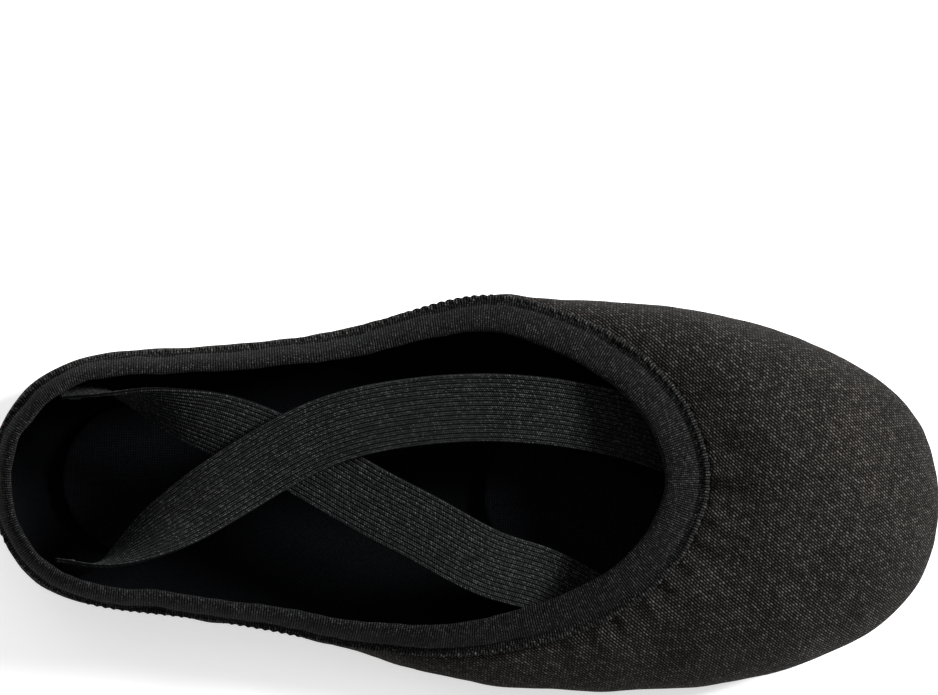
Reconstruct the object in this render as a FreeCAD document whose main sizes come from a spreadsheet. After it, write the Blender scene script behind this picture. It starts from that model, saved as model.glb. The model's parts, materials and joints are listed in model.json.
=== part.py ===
import FreeCAD, Part

import math
import os

import Sketcher

from FreeCAD import Vector

# A split-sole ballet slipper that lies open and empty on its two sole pads.
# The frame has +X towards the toe, +Y to the wearer's left and +Z up. The origin is on the
# floor under the middle of the slipper's length. Sizes are millimetres.

# Driving dimensions. Each name is an alias in the sheet.
DIMENSIONS = {
    "slipper_length": 232.0,
    "ball_width": 96.4,
    "throat_height": 34.0,
    "heel_rise": 25.0,
    "end_lift": 5.0,
    "pad_gap": 0.1,
    "canvas_thickness": 1.2,
    "lining_thickness": 0.75,
    "layer_gap": 0.15,
    "binding_proud": 0.3,
    "binding_thickness": 2.7,
    "elastic_thickness": 0.7,
    "piping_height": 0.7,
    "tape_width": 12.0,
    "tape_thickness": 0.6,
    "fold_from_toe": 132.0,
    "fold_half_span": 14.0,
    "body_gap": 0.4,
    "pad_thickness": 1.9,
    "pad_skive": 0.6,
    "channel_width": 1.2,
    "channel_depth": 0.9,
    "thread_width": 0.8,
    "thread_thickness": 0.5,
    "thread_recess": 0.25,
    "outer_row_inset": 3.5,
    "inner_row_inset": 7.0,
    "front_pad_middle": 52.0,
    "front_pad_fore": 26.0,
    "front_pad_aft": 64.0,
    "front_pad_half_width": 37.0,
    "heel_pad_middle": 196.0,
    "heel_pad_fore": 24.0,
    "heel_pad_aft": 24.0,
    "heel_pad_half_width": 23.0,
    "insole_inset": 5.0,
    "insole_gap": 0.6,
    "foam_thickness": 2.2,
    "sock_thickness": 0.6,
    "strap_width": 16.5,
    "strap_thickness": 1.0,
    "tack_length": 3.0,
    "tack_width": 13.0,
    "tack_thickness": 0.6,
}

# Cross-sections of the upper from the toe to the heel: place along the length, half width as a
# share of half the ball width, crown as a share of the throat height, more crown as a share of
# the heel rise, lift off the floor as a share of the end lift, and how far the skin faces the end.
SECTIONS = (
    (0.000, 0.07, 0.30, 0.00, 0.90, 1.00),
    (0.012, 0.30, 0.42, 0.00, 0.45, 0.85),
    (0.038, 0.51, 0.555, 0.00, 0.12, 0.60),
    (0.065, 0.625, 0.64, 0.00, 0.00, 0.40),
    (0.116, 0.77, 0.74, 0.00, 0.00, 0.25),
    (0.198, 0.90, 0.86, 0.00, 0.00, 0.10),
    (0.289, 0.975, 0.985, 0.00, 0.00, 0.00),
    (0.397, 1.00, 1.06, 0.00, 0.00, 0.00),
    (0.491, 0.967, 1.09, 0.00, 0.05, 0.00),
    (0.569, 0.88, 1.12, 0.08, 0.10, 0.00),
    (0.647, 0.79, 1.13, 0.27, 0.10, 0.00),
    (0.733, 0.716, 1.13, 0.50, 0.00, 0.00),
    (0.819, 0.675, 1.13, 0.75, 0.00, -0.05),
    (0.897, 0.632, 1.13, 0.84, 0.00, -0.15),
    (0.948, 0.53, 1.13, 0.62, 0.05, -0.40),
    (0.978, 0.385, 1.10, 0.30, 0.30, -0.60),
    (0.9935, 0.22, 1.00, 0.10, 0.80, -0.85),
    (1.000, 0.08, 0.85, 0.00, 1.60, -1.00),
)
SECTION_POINTS = 16
WIDEST_LEVEL = 0.24
CROWN_POWER = 2.2
FLOOR_POWER = 5.0

# The top line in side view, front to back: the seam of the binding and its free edge, each as
# place along the length, share of the throat height and share of the heel rise.
TOP_LINE = (
    ((0.246, 0.950, 0.00), (0.289, 1.018, 0.00)),
    ((0.259, 0.931, 0.00), (0.300, 0.988, 0.00)),
    ((0.280, 0.909, 0.00), (0.319, 0.982, 0.00)),
    ((0.310, 0.865, 0.00), (0.345, 0.968, 0.00)),
    ((0.353, 0.812, 0.00), (0.388, 0.941, 0.00)),
    ((0.405, 0.762, 0.00), (0.435, 0.903, 0.00)),
    ((0.461, 0.682, 0.00), (0.487, 0.850, 0.00)),
    ((0.526, 0.618, 0.00), (0.543, 0.826, 0.00)),
    ((0.590, 0.597, 0.00), (0.599, 0.826, 0.00)),
    ((0.655, 0.600, 0.05), (0.659, 0.827, 0.07)),
    ((0.733, 0.600, 0.17), (0.733, 0.827, 0.20)),
    ((0.819, 0.600, 0.35), (0.819, 0.827, 0.39)),
    ((0.905, 0.600, 0.53), (0.905, 0.827, 0.58)),
    ((1.050, 0.600, 0.74), (1.050, 0.827, 0.81)),
)
SEAM = 0.0
FREE_EDGE = 1.0
SEAM_CLEARANCE = 0.012
ELASTIC_SHARES = (0.34, 0.68)
CASING_SHARES = (0.32, 0.70)
PIPING_SHARES = (-0.07, 0.07)

# Middle lines of the two crossing elastics, front to back: place along the length, side as a
# share of half the ball width, share of the throat height, share of the heel rise, and the
# roll of the band in degrees.
STRAP_FROM_LEFT = (
    (0.284, 0.290, 0.772, 0.00, -12),
    (0.358, 0.384, 0.790, 0.00, -12),
    (0.457, 0.436, 0.838, 0.00, -4),
    (0.573, 0.388, 0.890, 0.00, 0),
    (0.647, 0.290, 0.905, 0.00, 0),
    (0.724, 0.083, 0.930, 0.00, 4),
    (0.802, -0.180, 0.910, 0.08, 30),
    (0.862, -0.340, 0.900, 0.12, 70),
    (0.909, -0.415, 0.900, 0.16, 100),
    (0.922, -0.415, 0.900, 0.17, 100),
)
STRAP_FROM_RIGHT = (
    (0.362, -0.560, 0.690, 0.00, 20),
    (0.422, -0.425, 0.768, 0.00, 14),
    (0.470, -0.365, 0.802, 0.00, 8),
    (0.539, -0.201, 0.820, 0.00, 3),
    (0.599, -0.062, 0.815, 0.00, 0),
    (0.664, 0.104, 0.808, 0.00, 0),
    (0.733, 0.250, 0.815, 0.02, -10),
    (0.802, 0.355, 0.850, 0.08, -42),
    (0.862, 0.405, 0.880, 0.12, -78),
    (0.909, 0.415, 0.900, 0.16, -100),
    (0.922, 0.415, 0.900, 0.17, -100),
)
TACK_FROM_END = 0.25

# Generous sizes for boxes and cutters that only have to reach past the slipper.
REACH = 160.0
CUTTER_TOP = 90.0

document = FreeCAD.newDocument("ballet_slipper")
sheet = document.addObject("Spreadsheet::Sheet", "sizes")
for row, (alias, value) in enumerate(DIMENSIONS.items(), start=1):
    sheet.set(f"A{row}", alias)
    sheet.set(f"B{row}", str(value))
    sheet.setAlias(f"B{row}", alias)
document.recompute()

sub_parts = []
skins = {}
cutters = {}


def size(alias):
    """One driving dimension, read from the sheet."""
    return float(sheet.get(alias))


def place_along(share):
    """The X of a place given as a share of the length behind the toe."""
    return size("slipper_length") * (0.5 - share)


def height_of(throat_share, rise_share):
    """A height given as shares of the throat height and the heel rise."""
    return size("throat_height") * throat_share + size("heel_rise") * rise_share


def keep(piece, label):
    """Names a finished piece and lists it for export."""
    piece.Label = label
    sub_parts.append(piece)
    return piece


def plain_feature(name, shape):
    """A document object around a shape worked out from the sheet."""
    piece = document.addObject("Part::Feature", name)
    piece.Shape = shape
    return piece


def common_of(name, base, tool):
    piece = document.addObject("Part::Common", name)
    piece.Base = base
    piece.Tool = tool
    return piece


def cut_of(name, base, tool):
    piece = document.addObject("Part::Cut", name)
    piece.Base = base
    piece.Tool = tool
    return piece


def zone_box(name, lowest, highest):
    """A box between two corners, each coordinate an expression on the sheet."""
    box = document.addObject("Part::Box", name)
    for side, low, high in zip(("Length", "Width", "Height"), lowest, highest):
        box.setExpression(side, f"({high}) - ({low})")
    for axis, low in zip("xyz", lowest):
        box.setExpression(f".Placement.Base.{axis}", low)
    return box


def section_wire(x, half_width, crown, floor):
    """One closed cross-section: a flat, square floor and a rounder crown."""
    widest = floor + WIDEST_LEVEL * (crown - floor)
    points = []
    for step in range(SECTION_POINTS):
        turn = 2 * math.pi * step / SECTION_POINTS
        across = math.cos(turn)
        up = math.sin(turn)
        power = CROWN_POWER if up >= 0 else FLOOR_POWER
        rise = crown - widest if up >= 0 else widest - floor
        y = half_width * math.copysign(abs(across) ** (2 / power), across)
        z = widest + rise * math.copysign(abs(up) ** (2 / power), up)
        points.append(Vector(x, y, z))
    curve = Part.BSplineCurve()
    curve.interpolate(Points=points, PeriodicFlag=True)
    return Part.Wire(curve.toShape())


def skin(offset):
    """The slipper's closed outer form, grown outwards by the offset."""
    key = round(offset, 3)
    if key not in skins:
        wires = []
        for along, width, crown, rise, lift, facing in SECTIONS:
            sideways = offset * math.sqrt(1 - facing**2)
            wires.append(
                section_wire(
                    place_along(along) + offset * facing,
                    size("ball_width") / 2 * width + sideways,
                    height_of(crown, rise) + sideways,
                    size("pad_thickness") + size("pad_gap") + size("end_lift") * lift - sideways,
                )
            )
        skins[key] = plain_feature(f"skin_{len(skins)}", Part.makeLoft(wires, True, False))
    return skins[key]


def above_top_line(share):
    """Everything above a line that runs between the binding's seam (0) and its free edge (1)."""
    if share not in cutters:
        points = []
        for seam, edge in TOP_LINE:
            along, throat, rise = (a + share * (b - a) for a, b in zip(seam, edge))
            points.append(Vector(place_along(along), -REACH, height_of(throat, rise)))
        line = Part.BSplineCurve()
        line.interpolate(points)
        high_back = Vector(points[-1].x, -REACH, CUTTER_TOP)
        high_front = Vector(points[0].x, -REACH, CUTTER_TOP)
        outline = Part.Wire(
            [
                line.toShape(),
                Part.makeLine(points[-1], high_back),
                Part.makeLine(high_back, high_front),
                Part.makeLine(high_front, points[0]),
            ]
        )
        solid = Part.Face(outline).extrude(Vector(0, 2 * REACH, 0))
        cutters[share] = plain_feature(f"cutter_{len(cutters)}", solid)
    return cutters[share]


def wall_cloth(name, outside, inside):
    """One layer of cloth, between two offsets, from toe to heel and up to the binding's seam."""
    shell = cut_of(f"{name}_shell", skin(outside), skin(inside))
    return cut_of(f"{name}_cloth", shell, above_top_line(SEAM - SEAM_CLEARANCE))


def top_band(name, outside, inside, shares):
    """A whole band along the top line, between two shares of the binding's width."""
    shell = cut_of(f"{name}_shell", skin(outside), skin(inside))
    raised = common_of(f"{name}_raised", shell, above_top_line(shares[0]))
    return cut_of(f"{name}_band", raised, above_top_line(shares[1]))


def lengths_of(whole, pieces):
    """Cuts one run of material into its named lengths, each in its zone."""
    for label, zone in pieces:
        keep(common_of(label, whole, zone), label)


def mirrored(label, source_label):
    """The other side's twin of a piece."""
    twin = document.addObject("Part::Mirroring", label)
    twin.Source = next(piece for piece in sub_parts if piece.Label == source_label)
    twin.Normal = Vector(0, 1, 0)
    keep(twin, label)


def top_line_set():
    """The knit binding, the flat elastic in its casing and the piping along its seam."""
    proud = size("binding_proud")
    elastic_top = proud - (size("binding_thickness") - size("elastic_thickness")) / 2
    elastic_bottom = elastic_top - size("elastic_thickness")
    gap = size("layer_gap")
    piping_base = proud + gap / 2
    piping_top = piping_base + size("piping_height")
    binding_shares = (SEAM + SEAM_CLEARANCE, FREE_EDGE)
    full = top_band("binding", proud, proud - size("binding_thickness"), binding_shares)
    casing = top_band("casing", elastic_top + gap, elastic_bottom - gap, CASING_SHARES)
    return {
        "binding": cut_of("binding_with_casing", full, casing),
        "binding_elastic": top_band("elastic", elastic_top, elastic_bottom, ELASTIC_SHARES),
        "piping": top_band("piping", piping_top, piping_base, PIPING_SHARES),
    }


def half_oval(sketch, middle, reach, half_width, towards):
    """Adds one half of an oval to a sketch: reach along X, half_width across."""
    side = Vector(middle, half_width, 0)
    tip = Vector(middle + towards * reach, 0, 0)
    other = Vector(middle, -half_width, 0)
    if reach >= half_width:
        ellipse = Part.Ellipse(tip, side, Vector(middle, 0, 0))
    else:
        ellipse = Part.Ellipse(side, tip, Vector(middle, 0, 0))
    ends = sorted((ellipse.parameter(side), ellipse.parameter(other)))
    arc = Part.ArcOfEllipse(ellipse, ends[0], ends[1])
    halfway = arc.value((ends[0] + ends[1]) / 2)
    if (halfway.x - middle) * towards < 0:
        arc = Part.ArcOfEllipse(ellipse, ends[1], ends[0] + 2 * math.pi)
    sketch.addGeometry(arc, False)


def oval_sketch(body, name, pad, insets, lift):
    """A sketch of one or two ovals inside a sole pad's outline, at a height over the floor."""
    plane = next(f for f in body.Origin.OriginFeatures if f.Role == "XY_Plane")
    sketch = body.newObject("Sketcher::SketchObject", name)
    sketch.AttachmentSupport = [(plane, "")]
    sketch.MapMode = "FlatFace"
    sketch.setExpression(".AttachmentOffset.Base.z", lift)
    middle = size("slipper_length") / 2 - size(f"{pad}_middle")
    for inset in insets:
        half_width = size(f"{pad}_half_width") - inset
        first = sketch.GeometryCount
        half_oval(sketch, middle, size(f"{pad}_fore") - inset, half_width, 1)
        half_oval(sketch, middle, size(f"{pad}_aft") - inset, half_width, -1)
        for end in (1, 2):
            corner = sketch.getPoint(first, end)
            mate = 1 if sketch.getPoint(first + 1, 1).distanceToPoint(corner) < 0.01 else 2
            sketch.addConstraint(Sketcher.Constraint("Coincident", first, end, first + 1, mate))
    return sketch


def oval_body(label, pad, insets, lift, thickness):
    """A flat piece with a sole pad's outline, drawn in by the insets."""
    body = document.addObject("PartDesign::Body", label)
    sketch = oval_sketch(body, f"{label}_outline", pad, insets, lift)
    block = body.newObject("PartDesign::Pad", f"{label}_block")
    block.Profile = sketch
    block.setExpression("Length", thickness)
    return keep(body, label)


def sole_pad(label, pad):
    """A suede sole pad with a skived edge and two stitch channels in its underside."""
    body = oval_body(label, pad, (0.0,), "0", "sizes.pad_thickness")
    document.recompute()
    block = body.Tip
    rim = [
        f"Edge{number}"
        for number, edge in enumerate(block.Shape.Edges, start=1)
        if edge.BoundBox.ZMax < size("pad_skive") / 2
    ]
    skive = body.newObject("PartDesign::Chamfer", f"{label}_skive")
    skive.Base = (block, rim)
    skive.setExpression("Size", "sizes.pad_skive")
    body.Tip = skive
    document.recompute()
    for row_name in ("outer_row", "inner_row"):
        before = body.Tip.Shape.Volume
        inset = size(f"{row_name}_inset")
        half_channel = size("channel_width") / 2
        rings = (inset - half_channel, inset + half_channel)
        sketch = oval_sketch(body, f"{label}_{row_name}_ring", pad, rings, "0")
        channel = body.newObject("PartDesign::Pocket", f"{label}_{row_name}_channel")
        channel.Profile = sketch
        channel.Reversed = True
        channel.setExpression("Length", "sizes.channel_depth")
        body.Tip = channel
        document.recompute()
        if channel.Shape.Volume >= before:
            raise RuntimeError(f"{label}: the {row_name} channel cuts nothing")
    return body


def stitch_row(label, pad, row_name):
    """The thread of one row of stitches, lying inside its channel."""
    inset = size(f"{row_name}_inset")
    half_thread = size("thread_width") / 2
    rings = (inset - half_thread, inset + half_thread)
    return oval_body(label, pad, rings, "sizes.thread_recess", "sizes.thread_thickness")


def insole(prefix, pad):
    """The foam under the foot and the cotton sock over it."""
    inset = size("insole_inset")
    layers = "sizes.pad_thickness + sizes.pad_gap + sizes.canvas_thickness + sizes.layer_gap"
    insole_floor = f"{layers} + sizes.lining_thickness + sizes.insole_gap"
    oval_body(f"{prefix}_insole_foam", pad, (inset,), insole_floor, "sizes.foam_thickness")
    oval_body(
        f"{prefix}_sock",
        pad,
        (inset - 1,),
        f"{insole_floor} + sizes.foam_thickness + sizes.layer_gap",
        "sizes.sock_thickness",
    )


def band_frames(rows):
    """Middle point, sideways and upward directions of a band at each of its rows."""
    middles = [
        Vector(
            place_along(along),
            size("ball_width") / 2 * side,
            height_of(throat, rise),
        )
        for along, side, throat, rise, _ in rows
    ]
    frames = []
    for number, (middle, row_values) in enumerate(zip(middles, rows)):
        before = middles[max(number - 1, 0)]
        after = middles[min(number + 1, len(middles) - 1)]
        along = (after - before).normalize()
        flat_side = Vector(0, 0, 1).cross(along).normalize()
        turn = FreeCAD.Rotation(along, row_values[4])
        sideways = turn.multVec(flat_side)
        frames.append((middle, sideways, along.cross(sideways).normalize()))
    return frames


def band_solid(frames, width, thickness, lift):
    """A flat band through its frames, lifted off their middles by the lift."""
    wires = []
    for middle, sideways, upward in frames:
        centre = middle + upward * lift
        across = sideways * (width / 2)
        half_deep = upward * (thickness / 2)
        corners = [
            centre + across + half_deep,
            centre - across + half_deep,
            centre - across - half_deep,
            centre + across - half_deep,
        ]
        wires.append(Part.makePolygon(corners + corners[:1]))
    return Part.makeLoft(wires, True, True)


def tack_frames(frames, inner_end):
    """Two frames a tack's length apart, near one end of a band."""
    first, second = (frames[0], frames[1]) if inner_end else (frames[-1], frames[-2])
    run = second[0] - first[0]
    start = first[0] + run * TACK_FROM_END
    stop = start + run.normalize() * size("tack_length")
    return [(start, first[1], first[2]), (stop, first[1], first[2])]


def strap_set(side, rows):
    """One crossing elastic and the bar tacks at its front and heel ends."""
    frames = band_frames(rows)
    solid = band_solid(frames, size("strap_width"), size("strap_thickness"), 0.0)
    keep(plain_feature(f"elastic_strap_{side}", solid), f"elastic_strap_{side}")
    lift = (size("strap_thickness") + size("tack_thickness")) / 2 + size("body_gap")
    for end, inner_end in (("front", True), ("heel", False)):
        tack = band_solid(
            tack_frames(frames, inner_end), size("tack_width"), size("tack_thickness"), lift
        )
        label = f"{end}_tack_{side}"
        keep(plain_feature(label, tack), label)


# Zones: the forefoot, the arch that bends, and the heel, with its two sides.
TOE_X = "sizes.slipper_length / 2 + 20"
BACK_X = "-sizes.slipper_length / 2 - 20"
FOLD = "sizes.slipper_length / 2 - sizes.fold_from_toe"
FORE_END = f"{FOLD} + sizes.fold_half_span"
HEEL_END = f"{FOLD} - sizes.fold_half_span"
GAP = "sizes.body_gap"
forefoot_zone = zone_box("forefoot_zone", (FORE_END, "-100", "-10"), (TOE_X, "100", "100"))
arch_zone = zone_box(
    "arch_zone",
    (f"{HEEL_END} + {GAP}", "-100", "-10"),
    (f"{FORE_END} - {GAP}", "100", "100"),
)
arch_left_zone = zone_box(
    "arch_left_zone",
    (f"{HEEL_END} + {GAP}", "0", "-10"),
    (f"{FORE_END} - {GAP}", "100", "100"),
)
heel_zone = zone_box("heel_zone", (BACK_X, "-100", "-10"), (HEEL_END, "100", "100"))
heel_left_zone = zone_box(
    "heel_left_zone", (BACK_X, "sizes.layer_gap", "-10"), (HEEL_END, "100", "100")
)
tape_zone = zone_box(
    "tape_zone",
    (BACK_X, "-sizes.tape_width / 2", "12"),
    ("-sizes.slipper_length / 2 + 20", "sizes.tape_width / 2", "100"),
)

canvas_inside = -size("canvas_thickness")
lining_outside = canvas_inside - size("layer_gap")
lining_inside = lining_outside - size("lining_thickness")
tape_outside = lining_inside - size("layer_gap")
tape_inside = tape_outside - size("tape_thickness")

# The canvas and its lining, front to back.
for cloth_name, outside, inside in (
    ("canvas", 0.0, canvas_inside),
    ("lining", lining_outside, lining_inside),
):
    cloth = wall_cloth(cloth_name, outside, inside)
    zones = (
        (f"vamp_{cloth_name}", forefoot_zone),
        (f"arch_{cloth_name}", arch_zone),
        (f"left_quarter_{cloth_name}", heel_left_zone),
    )
    lengths_of(cloth, zones)
    mirrored(f"right_quarter_{cloth_name}", f"left_quarter_{cloth_name}")
lengths_of(wall_cloth("tape", tape_outside, tape_inside), (("back_seam_tape", tape_zone),))

# The top line.
for piece_name, band in top_line_set().items():
    zones = (
        (f"throat_{piece_name}", forefoot_zone),
        (f"arch_left_{piece_name}", arch_left_zone),
        (f"heel_{piece_name}", heel_zone),
    )
    lengths_of(band, zones)
    mirrored(f"arch_right_{piece_name}", f"arch_left_{piece_name}")

# The two soles, inside and out.
for prefix, pad in (("forefoot", "front_pad"), ("heel", "heel_pad")):
    sole_pad(f"{prefix}_sole_pad", pad)
    stitch_row(f"{prefix}_stitches_outer", pad, "outer_row")
    stitch_row(f"{prefix}_stitches_inner", pad, "inner_row")
    insole(prefix, pad)

# The elastics over the instep.
strap_set("left", STRAP_FROM_LEFT)
strap_set("right", STRAP_FROM_RIGHT)

document.recompute()

for item in document.Objects:
    if "Invalid" in item.State or "Error" in item.State:
        raise RuntimeError(f"{item.Label} is in state {item.State}")
for piece in sub_parts:
    if piece.Shape.isNull() or not piece.Shape.isValid() or not piece.Shape.Solids:
        raise RuntimeError(f"{piece.Label} has no valid shape")

os.makedirs("parts", exist_ok=True)
for piece in sub_parts:
    piece.Shape.exportStep(f"parts/{piece.Label}.step")
    box = piece.Shape.BoundBox
    print(
        f"{piece.Label:26s} solids {len(piece.Shape.Solids)} volume {piece.Shape.Volume:9.1f}"
        f" x {box.XMin:7.1f} {box.XMax:7.1f} y {box.YMin:6.1f} {box.YMax:6.1f}"
        f" z {box.ZMin:5.1f} {box.ZMax:5.1f}"
    )
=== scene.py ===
import json
import math

import bpy
import numpy as np
from mathutils import Matrix, Vector

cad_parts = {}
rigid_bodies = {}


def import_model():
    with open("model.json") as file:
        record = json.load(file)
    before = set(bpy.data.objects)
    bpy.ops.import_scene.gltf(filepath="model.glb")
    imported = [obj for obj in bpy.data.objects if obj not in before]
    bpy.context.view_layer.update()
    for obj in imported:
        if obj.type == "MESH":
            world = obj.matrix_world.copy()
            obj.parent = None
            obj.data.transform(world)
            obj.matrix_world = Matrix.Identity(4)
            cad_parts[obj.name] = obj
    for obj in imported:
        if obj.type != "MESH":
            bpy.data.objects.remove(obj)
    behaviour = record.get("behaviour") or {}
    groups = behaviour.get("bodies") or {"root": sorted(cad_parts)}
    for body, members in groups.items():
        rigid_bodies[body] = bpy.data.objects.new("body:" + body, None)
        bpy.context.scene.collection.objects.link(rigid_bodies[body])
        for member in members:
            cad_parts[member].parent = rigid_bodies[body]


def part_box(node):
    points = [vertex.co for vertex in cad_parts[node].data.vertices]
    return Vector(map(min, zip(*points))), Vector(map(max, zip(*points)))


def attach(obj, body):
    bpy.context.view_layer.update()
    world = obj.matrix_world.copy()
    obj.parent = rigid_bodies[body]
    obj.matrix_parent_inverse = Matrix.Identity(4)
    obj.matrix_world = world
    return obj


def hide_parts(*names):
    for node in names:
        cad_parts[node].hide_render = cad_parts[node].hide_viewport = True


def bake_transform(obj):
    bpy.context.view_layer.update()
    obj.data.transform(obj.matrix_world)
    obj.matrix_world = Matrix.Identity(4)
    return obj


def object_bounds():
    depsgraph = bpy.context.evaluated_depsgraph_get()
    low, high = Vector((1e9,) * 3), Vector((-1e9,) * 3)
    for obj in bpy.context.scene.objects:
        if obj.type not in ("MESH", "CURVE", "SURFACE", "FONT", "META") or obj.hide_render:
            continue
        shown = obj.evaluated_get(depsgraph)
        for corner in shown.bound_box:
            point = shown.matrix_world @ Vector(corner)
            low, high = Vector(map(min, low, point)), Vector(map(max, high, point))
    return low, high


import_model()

cad_box = [list(corner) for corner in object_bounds()]

MM = 0.001
TAU = 2 * math.pi
random_numbers = np.random.default_rng(7)

# ---------------------------------------------------------------- the slipper's lines
# All lines are in millimetres, measured back from the toe tip and out from the middle.

TOE = cad_box[1][0] / MM
PAD_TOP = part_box("forefoot_sole_pad")[1][2] / MM

# Ribs of the left side, toe to heel: outline (behind the toe, half width, height of the widest
# level), seam of the binding (behind the toe, half width, height), tilt of the cloth at the seam
# in degrees, and the place on the sole's middle line where the rib starts.
RIBS = (
    (0.0, 0.0, 8.5, 58.6, 0.0, 31.6, 13, 44.0),
    (2.7, 14.3, 8.8, 59.2, 5.4, 31.6, 13, 44.2),
    (8.8, 24.5, 9.2, 60.9, 10.7, 31.5, 14, 45.0),
    (18.0, 32.2, 9.6, 63.7, 16.8, 31.2, 15, 47.0),
    (32.0, 39.3, 9.8, 68.2, 22.8, 30.7, 17, 51.0),
    (50.0, 44.4, 10.0, 74.2, 28.6, 29.6, 20, 60.0),
    (70.0, 47.2, 10.2, 82.8, 34.2, 27.9, 23, 74.0),
    (92.0, 48.1, 10.4, 95.0, 39.2, 25.7, 30, 92.0),
    (114.0, 46.6, 10.5, 114.0, 42.8, 22.4, 43, 112.0),
    (132.0, 42.8, 10.8, 132.0, 40.6, 20.6, 54, 130.0),
    (152.0, 37.8, 11.5, 152.0, 36.2, 21.5, 62, 148.0),
    (170.0, 34.5, 12.5, 170.0, 33.2, 24.5, 66, 164.0),
    (190.0, 32.5, 13.5, 190.0, 31.0, 29.0, 68, 178.0),
    (207.0, 30.6, 14.5, 206.5, 29.0, 33.0, 69, 190.0),
    (220.0, 25.2, 15.0, 219.0, 23.6, 36.0, 69, 198.0),
    (228.5, 15.3, 15.0, 227.0, 14.0, 37.6, 69, 203.0),
    (232.0, 0.0, 15.0, 230.3, 0.0, 38.2, 69, 205.0),
)
# The empty opening leans a little to the left over the forefoot.
LEAN = 4.8
LEAN_FROM, LEAN_TO = 104.0, 152.0
# The elastic in the binding pulls the seam down at the throat: the canvas meets it at a tilt
# that is this many degrees lower.
PULLED_DOWN = 34.0
PULLED_FROM, PULLED_TO = 62.0, 100.0
BINDING_WIDTH = 9.6
CANVAS_THICKNESS = 1.0
SOLE_LEVEL = PAD_TOP + 0.1
LINING_INSET = 1.35
LINING_RAISED = 0.5
LINING_THICKNESS = 0.6
TAPE_INSET = 2.1
TAPE_WIDTH = 12.0
TAPE_THICKNESS = 0.45
# A point inside the slipper, from which its cloth faces away.
INSIDE = (0, 0, 14)
STRAP_WIDTH = 16.6
STRAP_RIBS = 15
CANVAS_PITCH = 0.66


def smooth(x, low, high):
    """0 below low, 1 above high, and a smooth rise between."""
    t = np.clip((x - low) / (high - low), 0, 1)
    return t * t * (3 - 2 * t)


def between_knots(step, values, bend, cell, following, past):
    """Reads a cubic curve from its values and bends at the knots on both sides of each place."""
    h = step[cell][:, None]
    a = past[:, None]
    b = h - a
    return (
        (bend[cell] * b**3 + bend[following] * a**3) / (6 * h)
        + (values[cell] / h - bend[cell] * h / 6) * b
        + (values[following] / h - bend[following] * h / 6) * a
    )


def periodic_spline(knots, values, period, at):
    """A closed natural curve through values at knots, read at the places in at."""
    count = len(knots)
    step = np.diff(np.append(knots, knots[0] + period))
    slope = (np.roll(values, -1, axis=0) - values) / step[:, None]
    matrix = np.zeros((count, count))
    right = np.zeros_like(values)
    for row in range(count):
        before, after = step[row - 1], step[row]
        matrix[row, row - 1] += before
        matrix[row, row] += 2 * (before + after)
        matrix[row, (row + 1) % count] += after
        right[row] = 6 * (slope[row] - slope[row - 1])
    bend = np.linalg.solve(matrix, right)
    at = np.mod(at - knots[0], period) + knots[0]
    cell = np.clip(np.searchsorted(knots, at, side="right") - 1, 0, count - 1)
    return between_knots(step, values, bend, cell, (cell + 1) % count, at - knots[cell])


def open_spline(knots, values, at):
    """A smooth curve through values at knots, with free ends, read at the places in at."""
    count = len(knots)
    step = np.diff(knots)
    slope = np.diff(values, axis=0) / step[:, None]
    matrix = np.eye(count)
    right = np.zeros_like(values)
    for row in range(1, count - 1):
        matrix[row, row - 1 : row + 2] = step[row - 1], 2 * (step[row - 1] + step[row]), step[row]
        right[row] = 6 * (slope[row] - slope[row - 1])
    bend = np.linalg.solve(matrix, right)
    cell = np.clip(np.searchsorted(knots, at, side="right") - 1, 0, count - 2)
    return between_knots(step, values, bend, cell, cell + 1, at - knots[cell])


def unit(vectors):
    return vectors / np.maximum(np.linalg.norm(vectors, axis=-1, keepdims=True), 1e-9)


def full_ring(rows):
    """The left side's rows, toe to heel, and their mirror images back to the toe."""
    left = np.array(rows, dtype=float)
    right = left[-2:0:-1].copy()
    right[:, 1] *= -1
    right[:, 4] *= -1
    return np.vstack([left, right])


RING = full_ring(RIBS)
OUTLINE_STEPS = np.linalg.norm(np.diff(RING[:, :2], axis=0, append=RING[:1, :2]), axis=1)
RING_KNOTS = np.concatenate([[0], np.cumsum(OUTLINE_STEPS)[:-1]])
GIRTH = OUTLINE_STEPS.sum()


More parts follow.
